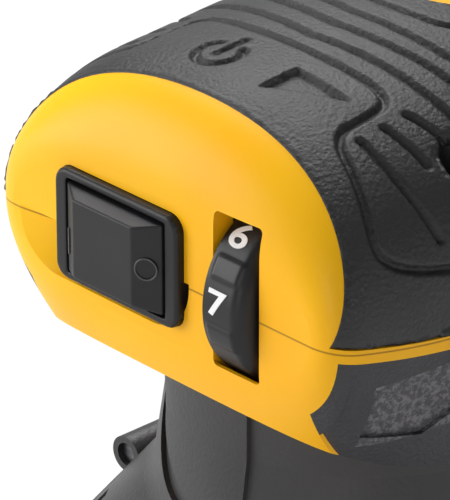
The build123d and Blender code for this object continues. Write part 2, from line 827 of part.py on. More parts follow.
with BuildPart() as armature_core:
    with BuildSketch(Plane.XY.offset(stator_low)):
        Circle(armature_radius)
        Circle(shaft_radius, mode=Mode.SUBTRACT)
        with PolarLocations(armature_radius - slot_depth / 2 - 0.8, slot_count):
            Rectangle(slot_depth, slot_width, mode=Mode.SUBTRACT)
        with PolarLocations(armature_radius, slot_count):
            Rectangle(3, slot_width / 3, mode=Mode.SUBTRACT)
    extrude(amount=stator_length)
armature_core.part.label = "armature_core"
export_step(armature_core.part, "parts/armature_core.step")

with BuildPart() as armature_windings:
    with BuildSketch(Plane.XY.offset(stator_low - winding_height), Plane.XY.offset(stator_top)):
        Circle(winding_radius)
        Circle(shaft_radius, mode=Mode.SUBTRACT)
    extrude(amount=winding_height, dir=(0, 0, 1))
    with BuildSketch(Plane.XY.offset(stator_low - winding_height)):
        with PolarLocations(armature_radius - slot_depth / 2 - 0.8, slot_count):
            Rectangle(slot_depth - 0.8, slot_width - 0.6)
    extrude(amount=stator_length + 2 * winding_height)
armature_windings.part.label = "armature_windings"
export_step(armature_windings.part, "parts/armature_windings.step")

with BuildPart() as commutator:
    with BuildSketch(Plane.XY.offset(commutator_low)):
        Circle(commutator_radius)
        Circle(shaft_radius, mode=Mode.SUBTRACT)
        with PolarLocations(commutator_radius, segment_count):
            Rectangle(1.6, 0.6, mode=Mode.SUBTRACT)
    extrude(amount=commutator_length)
commutator.part.label = "commutator"
export_step(commutator.part, "parts/commutator.step")

pole_bore = armature_radius + air_gap
yoke_inside = stator_radius - yoke_width
with BuildPart() as stator:
    with BuildSketch(Plane.XY.offset(stator_low)):
        Circle(stator_radius)
        Circle(yoke_inside, mode=Mode.SUBTRACT)
        Rectangle(2 * stator_radius - 3, 2 * pole_half)
        Circle(pole_bore, mode=Mode.SUBTRACT)
    extrude(amount=stator_length)
stator.part.label = "stator"
export_step(stator.part, "parts/stator.step")

with BuildPart() as field_coils:
    with BuildSketch(Plane.XY.offset(stator_low - coil_overhang)):
        with PolarLocations((pole_bore + yoke_inside) / 2, 2):
            Rectangle(yoke_inside - pole_bore, 2 * (pole_half + coil_width))
        Circle(yoke_inside - moulded_gap, mode=Mode.INTERSECT)
        Circle(pole_bore + slip_gap, mode=Mode.SUBTRACT)
    extrude(amount=stator_length + 2 * coil_overhang)
    with BuildSketch(Plane.XY.offset(stator_low)):
        Rectangle(2 * stator_radius, 2 * pole_half)
    extrude(amount=stator_length, mode=Mode.SUBTRACT)
field_coils.part.label = "field_coils"
export_step(field_coils.part, "parts/field_coils.step")

plate_radius_low = neck_foot_radius - neck_wall
ledge_radius = plate_radius_low - plate_ledge
plate_screw_places = ring_places(plate_radius_low - 2.6, plate_screw_count, 45)
with BuildPart() as bearing_plate:
    with BuildSketch(Plane.XY.offset(bearing_plate_top - plate_flange)):
        Circle(plate_radius_low - moulded_gap)
        with PolarLocations(22, 6):
            SlotOverall(12, 7, rotation=90, mode=Mode.SUBTRACT)
    extrude(amount=plate_flange)
    with BuildSketch(Plane.XY.offset(bearing_plate_low)):
        Circle(lower_bearing_radius + bearing_seat_wall)
    extrude(amount=bearing_plate_top - bearing_plate_low)
    with BuildSketch(Plane.XY.offset(lower_bearing_low)):
        Circle(lower_bearing_radius)
    extrude(amount=lower_bearing_width, mode=Mode.SUBTRACT)
    with BuildSketch(Plane.XY.offset(bearing_plate_low)):
        Circle(shaft_radius + turning_gap)
    extrude(amount=bearing_plate_top - bearing_plate_low, mode=Mode.SUBTRACT)
    with BuildSketch(Plane.XY.offset(bearing_plate_low)):
        Circle(lower_bearing_radius - 2)
    extrude(amount=bearing_lip, mode=Mode.SUBTRACT)
    with BuildSketch(Plane.XY.offset(bearing_plate_low)):
        with Locations(*plate_screw_places):
            Circle(plate_screw_radius + moulded_gap)
    extrude(amount=bearing_plate_top - bearing_plate_low, mode=Mode.SUBTRACT)
bearing_plate.part.label = "bearing_plate"
export_step(bearing_plate.part, "parts/bearing_plate.step")
plate_screw_seat = bearing_plate_top - plate_flange
screws("plate_screws", plate_screw_places, plate_screw_seat, 2.4, plate_screw_radius, 9, head_up=False)

brush_low = commutator_low + (commutator_length - brush_height) / 2
holder_low = brush_low - holder_wall
with BuildPart() as motor_bracket:
    with BuildSketch(Plane.XY.offset(stator_top)):
        Circle(neck_radius - neck_wall - moulded_gap)
        Circle(yoke_inside + 1.5, mode=Mode.SUBTRACT)
    extrude(amount=bracket_base)
    with BuildSketch(Plane.XY.offset(bracket_base_top)):
        Circle(bracket_radius)
        Circle(bracket_radius - 6, mode=Mode.SUBTRACT)
    extrude(amount=holder_low - bracket_base_top)
    with BuildSketch(Plane.XY.offset(stator_top + bracket_base)):
        with PolarLocations((bracket_radius - 2 + upper_bearing_radius) / 2, 4, 45):
            Rectangle(bracket_radius - 2 - upper_bearing_radius, 4)
    extrude(amount=upper_bearing_top - stator_top - bracket_base)
    with BuildSketch(Plane.XY.offset(upper_bearing_low - 1.5)):
        Circle(upper_bearing_radius + 2.6)
    extrude(amount=upper_bearing_width + 3.1)
    with BuildSketch(Plane.XY.offset(stator_top)):
        Circle(commutator_radius + 4)
    extrude(amount=upper_bearing_low - 1.5 - stator_top, mode=Mode.SUBTRACT)
    with BuildSketch(Plane.XY.offset(upper_bearing_low)):
        Circle(upper_bearing_radius)
    extrude(amount=upper_bearing_width, mode=Mode.SUBTRACT)
    with BuildSketch(Plane.XY.offset(upper_bearing_low - 1.5)):
        Circle(upper_bearing_radius - 1.5)
    extrude(amount=1.5, mode=Mode.SUBTRACT)
motor_bracket.part.label = "motor_bracket"
export_step(motor_bracket.part, "parts/motor_bracket.step")

holder_start = commutator_radius + 1.2
brush_start = commutator_radius + running_fit
with BuildPart() as brush_holders:
    with BuildSketch(Plane.XY.offset(holder_low)):
        with PolarLocations((holder_start + holder_reach) / 2, 2):
            Rectangle(holder_reach - holder_start, brush_width + 2 * holder_wall)
    extrude(amount=brush_height + 2 * holder_wall)
    with BuildSketch(Plane.XY.offset(brush_low)):
        with PolarLocations((holder_start + holder_reach) / 2 - holder_wall, 2):
            Rectangle(holder_reach - holder_start, brush_width)
    extrude(amount=brush_height, mode=Mode.SUBTRACT)
brush_holders.part.label = "brush_holders"
export_step(brush_holders.part, "parts/brush_holders.step")

with BuildPart() as brushes:
    with BuildSketch(Plane.XY.offset(brush_low + moulded_gap)):
        with PolarLocations(brush_start + brush_length / 2, 2):
            Rectangle(brush_length, brush_width - 2 * moulded_gap)
    extrude(amount=brush_height - 2 * moulded_gap)
    with BuildSketch(Plane.XY.offset(brush_low)):
        Circle(brush_start)
    extrude(amount=brush_height, mode=Mode.SUBTRACT)
brushes.part.label = "brushes"
export_step(brushes.part, "parts/brushes.step")

spring_start = brush_start + brush_length
spring_end = holder_reach - holder_wall
spring_turns = 3
with BuildPart() as brush_springs:
    for side in (-1, 1):
        pitch = (spring_end - spring_start) / spring_turns
        with BuildSketch(Plane.XZ) as wire:
            for turn in range(spring_turns):
                with Locations((side * (spring_start + pitch * (turn + 0.5)), commutator_low + commutator_length / 2 + 2)):
                    Circle(pitch / 2)
            with Locations((side * (spring_start + spring_end) / 2, commutator_low + commutator_length / 2 + 2)):
                Rectangle(spring_end - spring_start, pitch / 2)
        revolve(axis=Axis((0, 0, commutator_low + commutator_length / 2), (1, 0, 0)))
brush_springs.part.label = "brush_springs"
export_step(brush_springs.part, "parts/brush_springs.step")

# ---- motor housing: skirt, flare and neck in one moulding ----
skirt_inside = skirt_radius - neck_wall
skirt_top = skirt_low + skirt_height
neck_inside = neck_radius - neck_wall
ledge_z = bearing_plate_top
neck_straight_z = rim_middle_z - 3.0
vent_z = (skirt_top + neck_foot_z) / 2
lug_z = bearing_plate_top - lug_drop
port_throat = port_radius - port_wall - port_step


def panel_outline(margin):
    # the front panel of the neck, seen from the front
    left = panel_left - margin
    right = panel_right
    low = bearing_plate_top + panel_low - margin
    high = neck_top
    with BuildSketch(Plane.XZ) as outline:
        with BuildLine():
            Line((left, high), (left, low + panel_corner))
            CenterArc((left + panel_corner, low + panel_corner), panel_corner, 180, 90)
            Polyline((left + panel_corner, low), (right, low), (right, high), (left, high))
        make_face()
    return outline.sketch_local


with BuildPart() as neck_skin:
    # a thin layer lying on the neck, thick enough for the panel
    with BuildSketch(Plane.XZ):
        with BuildLine():
            Polyline((neck_foot_radius - panel_band_depth, neck_foot_z - 2),
                     (neck_foot_radius + panel_proud, neck_foot_z - 2),
                     (neck_radius + panel_proud, neck_straight_z),
                     (neck_radius + panel_proud, neck_top - 6),
                     (neck_radius - panel_band_depth, neck_top - 6),
                     (neck_radius - panel_band_depth, neck_straight_z), close=True)
        make_face()
    revolve(axis=Axis.Z)

with BuildPart() as motor_housing:
    with BuildSketch(Plane.XZ):
        with BuildLine():
            Polyline((0, skirt_low), (skirt_radius, skirt_low), (skirt_radius, skirt_top),
                     (neck_foot_radius, neck_foot_z), (neck_radius, neck_straight_z),
                     (neck_radius, neck_top), (0, neck_top), close=True)
        make_face()
        corner = vertices().filter_by(lambda point: abs(point.Z - neck_foot_z) < 0.01 or abs(point.Y - neck_foot_z) < 0.01)
        fillet(corner, neck_blend)
    revolve(axis=Axis.Z)
    with BuildSketch(Plane.XZ.offset(-lug_front)):
        with Locations((-lug_x, lug_z), (lug_x, lug_z)):
            Circle(lug_radius)
    extrude(amount=-lug_length)
    with BuildSketch(Plane.XZ):
        with BuildLine():
            Polyline((0, skirt_low), (skirt_inside, skirt_low), (skirt_inside, skirt_top),
                     (plate_radius_low, ledge_z - plate_flange), (plate_radius_low, ledge_z),
                     (ledge_radius, ledge_z), (ledge_radius, ledge_z + 3), (neck_inside, neck_straight_z),
                     (neck_inside, neck_top), (0, neck_top), close=True)
        make_face()
    revolve(axis=Axis.Z, mode=Mode.SUBTRACT)
    with BuildSketch(Plane.XY.offset(stator_low)):
        with PolarLocations((stator_radius + neck_radius - 1) / 2, rib_count):
            Rectangle(neck_radius - 1 - stator_radius + 1, rib_width)
        Circle(stator_radius, mode=Mode.SUBTRACT)
    extrude(amount=stator_length)
    with BuildSketch(Plane.XY.offset(vent_z - vent_height / 2)):
        for middle in (-25, 25, 155, 205):
            with PolarLocations((skirt_radius + neck_radius) / 2, vent_count,
                                middle - vent_pitch * (vent_count - 1) / 2, vent_pitch * vent_count):
                Rectangle(skirt_radius - neck_radius, vent_width)
    extrude(amount=vent_height, mode=Mode.SUBTRACT)
    with BuildSketch(Plane.XZ.offset(-lug_front)):
        with Locations((-lug_x, lug_z), (lug_x, lug_z)):
            Circle(lug_radius - lug_wall)
    extrude(amount=-2, mode=Mode.SUBTRACT)
    with BuildSketch(Plane.XZ):
        with Locations((0, port_height)):
            Circle(port_throat)
    extrude(amount=-port_end_y, mode=Mode.SUBTRACT)
    with BuildSketch(Plane.XY.offset(bearing_plate_top)):
        with Locations(*plate_screw_places):
            Circle(plate_screw_radius)
    extrude(amount=6.2, mode=Mode.SUBTRACT)

with BuildPart() as panel_blank:
    with BuildSketch(Plane.XZ):
        add(panel_outline(0))
    extrude(amount=everything / 4)
with BuildPart() as band_blank:
    with BuildSketch(Plane.XZ):
        add(panel_outline(panel_band))
    extrude(amount=everything / 4)

with BuildPart() as neck_panel:
    add(neck_skin.part)
    add(panel_blank.part, mode=Mode.INTERSECT)
    add(inside_rim(-moulded_gap), mode=Mode.SUBTRACT)
neck_panel.part.label = "neck_panel"
export_step(neck_panel.part, "parts/neck_panel.step")

with BuildPart() as panel_recess:
    add(neck_skin.part)
    add(band_blank.part, mode=Mode.INTERSECT)
with BuildPart() as housing:
    add(motor_housing.part)
    add(panel_recess.part, mode=Mode.SUBTRACT)
housing.part.label = "motor_housing"
export_step(housing.part, "parts/motor_housing.step")

with BuildPart() as lug_screws:
    with BuildSketch(Plane.XZ.offset(-lug_front - 1.2)):
        with Locations((-lug_x, lug_z), (lug_x, lug_z)):
            Circle(lug_radius - lug_wall - moulded_gap)
    extrude(amount=-0.8)
lug_screws.part.label = "lug_screws"
export_step(lug_screws.part, "parts/lug_screws.step")

round_turned("brake_ring", [
    (skirt_inside, skirt_low),
    (skirt_inside, skirt_top - 0.5),
    (skirt_inside - brake_width, skirt_top - 0.5),
    (skirt_inside - brake_width, skirt_low + 1.5),
    (skirt_inside - brake_width - brake_lip, plate_top + slip_gap + 1.0),
    (skirt_inside - brake_width - brake_lip, plate_top + slip_gap),
    (skirt_inside - brake_width - brake_lip + 1.5, plate_top + slip_gap),
])

# ---- dust port at the rear ----
with BuildPart() as dust_port:
    with BuildSketch(Plane.XZ.offset(-port_end_y)):
        with Locations((0, port_height)):
            Circle(port_radius)
    extrude(amount=port_end_y - neck_radius)
    with BuildSketch(Plane.XZ.offset(-port_end_y + 4)):
        with Locations((0, port_height)):
            Circle(port_radius + 1)
    extrude(amount=3)
    with BuildSketch(Plane.XZ):
        with BuildLine():
            Polyline((0, 0), (skirt_radius, 0), (skirt_radius, skirt_top),
                     (neck_foot_radius, neck_foot_z), (0, neck_foot_z), close=True)
        make_face()
    revolve(axis=Axis.Z, mode=Mode.SUBTRACT)
    with BuildSketch(Plane.XZ.offset(-port_end_y)):
        with Locations((0, port_height)):
            Circle(port_throat)
    extrude(amount=port_end_y, mode=Mode.SUBTRACT)
    with BuildSketch(Plane.XZ.offset(-port_end_y)):
        with Locations((0, port_height)):
            Circle(port_radius - port_wall)
    extrude(amount=port_socket, mode=Mode.SUBTRACT)
dust_port.part.label = "dust_port"
export_step(dust_port.part, "parts/dust_port.step")

# ---- cap screws at the bottom of their wells ----
screws("cap_screws", wells, well_floor, well_radius - 2 * moulded_gap, cap_screw_radius - moulded_gap / 2, cap_screw_length)

# ---- cord inlet ----
with BuildPart() as inlet_collar:
    with BuildSketch(Plane.XZ.offset(-tail_y)):
        with Locations((0, seam_z - inlet_drop)):
            Circle(inlet_collar_radius - moulded_gap)
            Circle(inlet_radius, mode=Mode.SUBTRACT)
    extrude(amount=inlet_length)
inlet_collar.part.label = "inlet_collar"
export_step(inlet_collar.part, "parts/inlet_collar.step")

# ---- switch: rubber boot, rocker on its pin, and switch body ----
boot_depth = inner_nose_y - boot_front_y
rocker_back_y = boot_front_y + rocker_plate
pin_half = 5.0
ear_height = 1.6

with BuildPart() as switch_boot:
    with BuildSketch(Plane.XZ.offset(-boot_front_y)):
        add(boot_face(-moulded_gap))
    extrude(amount=-boot_depth)
    chamfer(switch_boot.faces().sort_by(Axis.Y)[0].edges(), length=0.5)
    with BuildSketch(Plane.XZ.offset(-boot_front_y)):
        with Locations((switch_x, switch_z)):
            Rectangle(rocker_width, rocker_height)
    extrude(amount=-boot_depth, mode=Mode.SUBTRACT)
switch_boot.part.label = "switch_boot"
export_step(switch_boot.part, "parts/switch_boot.step")

with BuildPart() as switch_rocker:
    with BuildSketch(Plane.XZ.offset(-boot_front_y)):
        with Locations((switch_x, switch_z)):
            Rectangle(rocker_width - 2 * rocker_gap, rocker_height - 2 * rocker_gap)
    with BuildSketch(Plane.XZ.offset(-boot_front_y + rocker_rise)):
        with Locations((switch_x, switch_z)):
            Rectangle(rocker_top_width, rocker_top_height)
    loft()
    with BuildSketch(Plane.XZ.offset(-boot_front_y)):
        with Locations((switch_x, switch_z)):
            Rectangle(rocker_width - 2 * rocker_gap, rocker_height - 2 * rocker_gap)
    extrude(amount=-rocker_plate)
    with BuildSketch(Plane.XY.offset(switch_z - pin_half + ear_height)):
        with Locations((switch_x, rocker_axis_y)):
            Circle(2 * rocker_pin_radius)
        with Locations((switch_x, (rocker_axis_y + rocker_back_y) / 2)):
            Rectangle(4 * rocker_pin_radius, rocker_axis_y - rocker_back_y)
        with Locations((switch_x, rocker_axis_y)):
            Circle(rocker_pin_radius + running_fit, mode=Mode.SUBTRACT)
    extrude(amount=2 * (pin_half - ear_height))
switch_rocker.part.label = "switch_rocker"
export_step(switch_rocker.part, "parts/switch_rocker.step")

with BuildPart() as rocker_pin:
    with BuildSketch(Plane.XY.offset(switch_z - pin_half)):
        with Locations((switch_x, rocker_axis_y)):
            Circle(rocker_pin_radius)
    extrude(amount=2 * pin_half)
rocker_pin.part.label = "rocker_pin"
export_step(rocker_pin.part, "parts/rocker_pin.step")

with BuildPart() as switch_body:
    with BuildSketch(Plane.XZ.offset(-inner_nose_y)):
        with Locations((switch_x, switch_z)):
            Rectangle(boot_width - 3, boot_height - 4)
    extrude(amount=-switch_depth)
    for low in (switch_z - pin_half, switch_z + pin_half - ear_height + slip_gap):
        with BuildSketch(Plane.XY.offset(low)):
            with Locations((switch_x, (inner_nose_y + rocker_axis_y) / 2 - 0.6)):
                Rectangle(4 * rocker_pin_radius, inner_nose_y - rocker_axis_y + 1.2)
            with Locations((switch_x, rocker_axis_y)):
                Circle(rocker_pin_radius, mode=Mode.SUBTRACT)
        extrude(amount=ear_height - slip_gap)
    with BuildSketch(Plane.XZ.offset(-inner_nose_y - switch_depth)):
        with Locations((switch_x - 7, switch_z), (switch_x, switch_z), (switch_x + 7, switch_z)):
            Rectangle(0.8, 5)
    extrude(amount=-5)
switch_body.part.label = "switch_body"
export_step(switch_body.part, "parts/switch_body.step")

# ---- speed dial on its shaft, and the control module that it turns in ----
with BuildPart() as dial_blank:
    with BuildSketch(Plane.XY):
        with BuildLine():
            Polyline((dial_x, dial_y), (dial_x, dial_y - dial_radius + 0.5),
                     (dial_x + 0.5, dial_y - dial_radius), (dial_x + dial_rim, dial_y - dial_radius))
            SagittaArc((dial_x + dial_rim, dial_y - dial_radius),
                       (dial_x + dial_width, dial_y - dial_radius + 4.5), -0.8)
            Polyline((dial_x + dial_width, dial_y - dial_radius + 4.5), (dial_x + dial_width, dial_y),
                     (dial_x, dial_y))
        make_face()
    revolve(axis=Axis((0, dial_y, 0), (1, 0, 0)))
with BuildPart() as dial:
    with Locations((0, 0, dial_z)):
        add(dial_blank.part)
    with BuildSketch(Plane.YZ.offset(dial_x)):
        with Locations((dial_y, dial_z)):
            Circle(dial_shaft_radius)
    extrude(amount=dial_width - 2, mode=Mode.SUBTRACT)
    with BuildSketch(Plane.YZ.offset(dial_x)):
        with Locations((dial_y, dial_z)):
            with PolarLocations(dial_radius, dial_rib_count, 7.5):
                Rectangle(0.9, 0.8)
    extrude(amount=dial_width, mode=Mode.SUBTRACT)
dial.part.label = "speed_dial"
export_step(dial.part, "parts/speed_dial.step")

module_right = dial_x - turning_gap - 0.4
shaft_reach = 5.0
with BuildPart() as dial_shaft:
    with BuildSketch(Plane.YZ.offset(module_right - shaft_reach)):
        with Locations((dial_y, dial_z)):
            Circle(dial_shaft_radius)
    extrude(amount=dial_x + dial_width - 2 - module_right + shaft_reach)
dial_shaft.part.label = "dial_shaft"
export_step(dial_shaft.part, "parts/dial_shaft.step")

with BuildPart() as speed_module:
    with BuildSketch(Plane.YZ.offset(module_right - module_width)):
        with Locations((inner_nose_y + module_depth / 2, dial_z)):
            Rectangle(module_depth, module_height)
    extrude(amount=module_width)
    with BuildSketch(Plane.YZ.offset(module_right - shaft_reach - slip_gap)):
        with Locations((dial_y, dial_z)):
            Circle(dial_shaft_radius + running_fit)
    extrude(amount=shaft_reach + slip_gap, mode=Mode.SUBTRACT)
speed_module.part.label = "speed_module"
export_step(speed_module.part, "parts/speed_module.step")
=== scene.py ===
import json
import math

import bpy
from mathutils import Matrix, Vector
from mathutils.bvhtree import BVHTree
from mathutils.kdtree import KDTree


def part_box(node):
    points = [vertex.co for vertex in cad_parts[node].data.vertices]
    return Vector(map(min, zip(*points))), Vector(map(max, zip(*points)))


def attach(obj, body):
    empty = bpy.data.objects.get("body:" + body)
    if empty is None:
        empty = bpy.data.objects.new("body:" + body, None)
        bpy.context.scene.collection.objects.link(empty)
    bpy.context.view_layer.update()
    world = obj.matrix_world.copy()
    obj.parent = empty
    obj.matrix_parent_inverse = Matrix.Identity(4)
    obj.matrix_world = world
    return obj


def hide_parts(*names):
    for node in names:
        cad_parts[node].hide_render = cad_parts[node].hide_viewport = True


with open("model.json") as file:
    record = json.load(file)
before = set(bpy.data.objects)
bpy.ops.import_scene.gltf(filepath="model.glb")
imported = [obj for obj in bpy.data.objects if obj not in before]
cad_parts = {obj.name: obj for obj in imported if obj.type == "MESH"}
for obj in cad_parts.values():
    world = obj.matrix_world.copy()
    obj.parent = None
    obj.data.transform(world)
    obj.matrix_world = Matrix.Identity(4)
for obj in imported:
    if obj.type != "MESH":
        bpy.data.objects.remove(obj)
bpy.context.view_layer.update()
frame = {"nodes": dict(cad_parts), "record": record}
nodes = frame["nodes"]
mm = 0.001
print("frame loaded:", len(nodes), "nodes")


def nodeBox(name):
    low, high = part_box(name)
    return Vector(low), Vector(high)


capTop = nodeBox("top_cap")[1].z
seamHeight = nodeBox("lower_shell")[1].z      # the parting line at the nose
bootLow, bootHigh = nodeBox("switch_boot")
bootCentre = (bootLow + bootHigh) / 2
dialLow, dialHigh = nodeBox("speed_dial")
dialCentre = (dialLow + dialHigh) / 2

# these serve every piece: the gap in mm, the angles in degrees
modelling = {"mergeGap": 0.01, "mouldAngle": 45, "smallAngle": 40}


def pickNone():
    if bpy.context.object and bpy.context.object.mode != "OBJECT":
        bpy.ops.object.mode_set(mode="OBJECT")
    bpy.ops.object.select_all(action="DESELECT")


def pick(*things):
    pickNone()
    for thing in things:
        thing.select_set(True)
    bpy.context.view_layer.objects.active = things[0]


def settle(thing, name):
    # name a finished piece and put its place into its mesh
    pick(thing)
    bpy.ops.object.transform_apply(location=True, rotation=True, scale=True)
    thing.name = name
    thing.data.name = name
    return thing


def dress(thing, material):
    thing.data.materials.clear()
    thing.data.materials.append(material)


def applyAll(thing):
    pick(thing)
    for modifier in list(thing.modifiers):
        bpy.ops.object.modifier_apply(modifier=modifier.name)


def relax(thing, rounds):
    smoother = thing.modifiers.new("relax", "SMOOTH")
    smoother.factor = 0.5
    smoother.iterations = rounds
    applyAll(thing)


def copyNode(name, newName):
    # a merged copy of a CAD node, free to be reshaped
    pick(nodes[name])
    bpy.ops.object.duplicate()
    twin = bpy.context.object
    twin.parent = None
    twin.matrix_world = Matrix.Identity(4)
    twin.name = newName
    twin.data.name = newName
    bpy.ops.object.mode_set(mode="EDIT")
    bpy.ops.mesh.select_all(action="SELECT")
    bpy.ops.mesh.remove_doubles(threshold=modelling["mergeGap"] * mm)
    bpy.ops.object.mode_set(mode="OBJECT")
    return twin


def fade(value, start, end):
    share = min(max((value - start) / (end - start), 0.0), 1.0)
    return share * share * (3 - 2 * share)


parting = {"front": -47.0, "rear": 58.0, "sag": 5.3, "fall": 1.8}


def seamArc():
    # the parting line in side view: the middle and radius of its arc, in mm from the nose's parting line
    start = Vector((parting["front"], 0))
    end = Vector((parting["rear"], -parting["fall"]))
    chord = (end - start).length
    radius = (chord * chord / 4 + parting["sag"] ** 2) / (2 * parting["sag"])
    return (start + end) / 2 + Vector((0, radius - parting["sag"])), radius


class Sock:
    # a shader socket that can be used in plain sums
    def __init__(self, tree, socket):
        self.tree = tree
        self.socket = socket

    def __add__(self, other):
        return self.tree.math("ADD", self, other)

    __radd__ = __add__

    def __sub__(self, other):
        return self.tree.math("SUBTRACT", self, other)

    def __rsub__(self, other):
        return self.tree.math("SUBTRACT", other, self)

    def __mul__(self, other):
        return self.tree.math("MULTIPLY", self, other)

    __rmul__ = __mul__

    def __gt__(self, other):
        return self.tree.math("GREATER_THAN", self, other)

    def __lt__(self, other):
        return self.tree.math("LESS_THAN", self, other)


class Finish:
    # one material and its nodes
    def __init__(self, name):
        self.material = bpy.data.materials.new(name)
        self.material.use_nodes = True
        self.nodes = self.material.node_tree.nodes
        self.links = self.material.node_tree.links
        self.shader = self.nodes["Principled BSDF"]
        self.place = self.node("ShaderNodeTexCoord", out="Object")

    def node(self, kind, settings=None, out=0, **values):
        # values go to inputs by name, or by number as i0, i1 and so on
        made = self.nodes.new(kind)
        for key, value in (settings or {}).items():
            setattr(made, key, value)
        for key, value in values.items():
            index = int(key[1:]) if key[0] == "i" and key[1:].isdigit() else key
            self.feed(made.inputs[index], value)
        return Sock(self, made.outputs[out])

    def feed(self, target, value):
        if isinstance(value, Sock):
            self.links.new(value.socket, target)
        else:
            target.default_value = value

    def math(self, kind, first, second=0.0):
        return self.node("ShaderNodeMath", {"operation": kind}, i0=first, i1=second)

    def noise(self, scale, detail=3.0, roughness=0.5, where=None):
        return self.node("ShaderNodeTexNoise", out="Fac", Vector=where or self.place,
                         Scale=scale, Detail=detail, Roughness=roughness)

    def pebbles(self, scale):
        return self.node("ShaderNodeTexVoronoi", {"feature": "SMOOTH_F1"}, out="Distance",
                         Vector=self.place, Scale=scale)

    def ease(self, value, low, high):
        return self.node("ShaderNodeMapRange", {"interpolation_type": "SMOOTHSTEP"}, out="Result",
                         Value=value, **{"From Min": low, "From Max": high})

    def tint(self, factor, first, second):
        return self.node("ShaderNodeMix", {"data_type": "RGBA"}, out=2, i0=factor, i6=first, i7=second)

    def axes(self):
        # the place's own x, y and z
        apart = self.node("ShaderNodeSeparateXYZ", Vector=self.place)
        return [Sock(self, output) for output in apart.socket.node.outputs]

    def relief(self, height, strength, distance):
        return self.node("ShaderNodeBump", Height=height, Strength=strength, Distance=distance)

    def set(self, **values):
        for key, value in values.items():
            self.feed(self.shader.inputs[key.replace("_", " ")], value)
        return self.material


def colour(red, green, blue):
    return (red, green, blue, 1.0)


stainEdge = (0.3, 0.7)        # where a soft stain goes from the dark tone to the pale one

# lengths in mm; the wells are where screws sink in, and each is painted dark as the shade inside its hollow
nylon = {"deep": colour(0.93, 0.44, 0.003), "light": colour(0.97, 0.53, 0.008), "stain": 18,
         "grain": 2600, "grainStrength": 0.15, "grainDepth": 0.05, "rough": 0.36, "roughScale": 60,
         "roughSpread": 0.10, "shine": 0.22, "wells": ((35.5, -14.0), (30.5, 29.0)), "wellRadius": 4.9,
         # the seam keys set a thin band of painted shade along the parting line
         "wellPaintedShade": colour(0.012, 0.012, 0.013), "seamEdge": (0.06, 0.26), "seamStrength": 0.75,
         "seamPaintedShade": colour(0.25, 0.10, 0.001)}


def yellowPlastic():
    finish = Finish("yellow nylon")
    stain = finish.ease(finish.noise(nylon["stain"], 2), *stainEdge)
    grain = finish.noise(nylon["grain"], 2)
    base = finish.tint(stain, nylon["deep"], nylon["light"])
    x, y, z = finish.axes()
    # painted shade: a dark disc over each screw well, standing for the shade in its hollow
    inWellShade = 0.0
    for across, along in nylon["wells"]:
        offX = finish.math("ABSOLUTE", x) - across * mm
        offY = y - along * mm
        inWellShade = ((offX * offX + offY * offY) < (nylon["wellRadius"] * mm) ** 2) + inWellShade
    # painted shade: a darker band along the parting line, where the gap between the shell halves lies in
    # shadow
    centre, radius = seamArc()
    armY = y * (1 / mm) - centre.x
    armZ = (z - seamHeight) * (1 / mm) - centre.y
    offSeam = finish.math("ABSOLUTE", finish.math("SQRT", armY * armY + armZ * armZ) - radius)
    seamShadow = 1 - finish.ease(offSeam, *nylon["seamEdge"])
    base = finish.tint(seamShadow * nylon["seamStrength"], base, nylon["seamPaintedShade"])
    return finish.set(
        Base_Color=finish.tint(inWellShade, base, nylon["wellPaintedShade"]),
        Roughness=finish.noise(nylon["roughScale"], 3) * nylon["roughSpread"] + nylon["rough"],
        Normal=finish.relief(grain, nylon["grainStrength"], nylon["grainDepth"] * mm),
        Specular_IOR_Level=nylon["shine"])


# the two rubbers share these; depth in mm; the pale flecks are painted highlights on the pebble tops
rubber = {"fineScale": 1.7, "pebbleHeight": 0.8, "fineHeight": 0.9, "depth": 0.4, "patch": 60,
          "patchEdge": (0.42, 0.62), "glintEdge": (0.60, 0.74), "glintTint": 0.55, "stain": 35,
          "stainTint": 0.2, "roughScale": 120, "roughSpread": 0.14, "shine": 0.4}
crownRubber = {"dark": colour(0.013, 0.013, 0.014), "pale": colour(0.12, 0.12, 0.125), "rough": 0.42,
               "pebble": 1250, "strength": 0.45}
flankRubber = {"dark": colour(0.022, 0.021, 0.024), "pale": colour(0.20, 0.195, 0.21), "rough": 0.44,
               "pebble": 1300, "strength": 0.6}
# the rough panel on each flank, in mm from the origin and from the parting line; its crumb tops get painted
# highlights on a paler ground tone
flankPanel = {"front": -38.3, "rear": 19.8, "low": -22.0, "high": -9.5, "crumb": 900, "crumbHeight": 5.0,
              "crumbGlintEdge": (0.44, 0.62), "crumbGlintTint": 1.5, "ground": 0.35}


def gripRubber(name, look, panel=None):
    # overmoulded rubber: leather-like pebbles, with pale flecks painted on their tops as highlights
    finish = Finish(name)
    fine = finish.noise(look["pebble"] * rubber["fineScale"], 4, 0.6)
    patches = finish.ease(finish.noise(rubber["patch"], 3, 0.6), *rubber["patchEdge"])
    height = finish.pebbles(look["pebble"]) * rubber["pebbleHeight"] + fine * rubber["fineHeight"]
    # painted highlights: pale flecks on the pebble tops, in random patches
    paintedGlint = finish.ease(fine, *rubber["glintEdge"]) * patches
    if panel:
        x, y, z = finish.axes()
        along = (y > panel["front"] * mm) * (y < panel["rear"] * mm)
        upright = (z > seamHeight + panel["low"] * mm) * (z < seamHeight + panel["high"] * mm)
        inside = along * upright
        crumbs = finish.noise(panel["crumb"], 5, 0.75)
        height = height * (1 - inside) + crumbs * inside * panel["crumbHeight"]
        # inside the panel: painted highlights on the crumb tops, over a paler ground tone
        panelGlint = finish.ease(crumbs, *panel["crumbGlintEdge"]) * panel["crumbGlintTint"] + panel["ground"]
        paintedGlint = paintedGlint * (1 - inside) + panelGlint * inside
    stain = finish.noise(rubber["stain"], 2) * rubber["stainTint"]
    return finish.set(
        Base_Color=finish.tint(paintedGlint * rubber["glintTint"] + stain, look["dark"], look["pale"]),
        Roughness=finish.noise(rubber["roughScale"], 3) * rubber["roughSpread"] + look["rough"],
        Normal=finish.relief(height, look["strength"], rubber["depth"] * mm),
        Specular_IOR_Level=rubber["shine"])


plastic = {"stain": 40, "roughScale": 90, "roughSpread": 0.12}


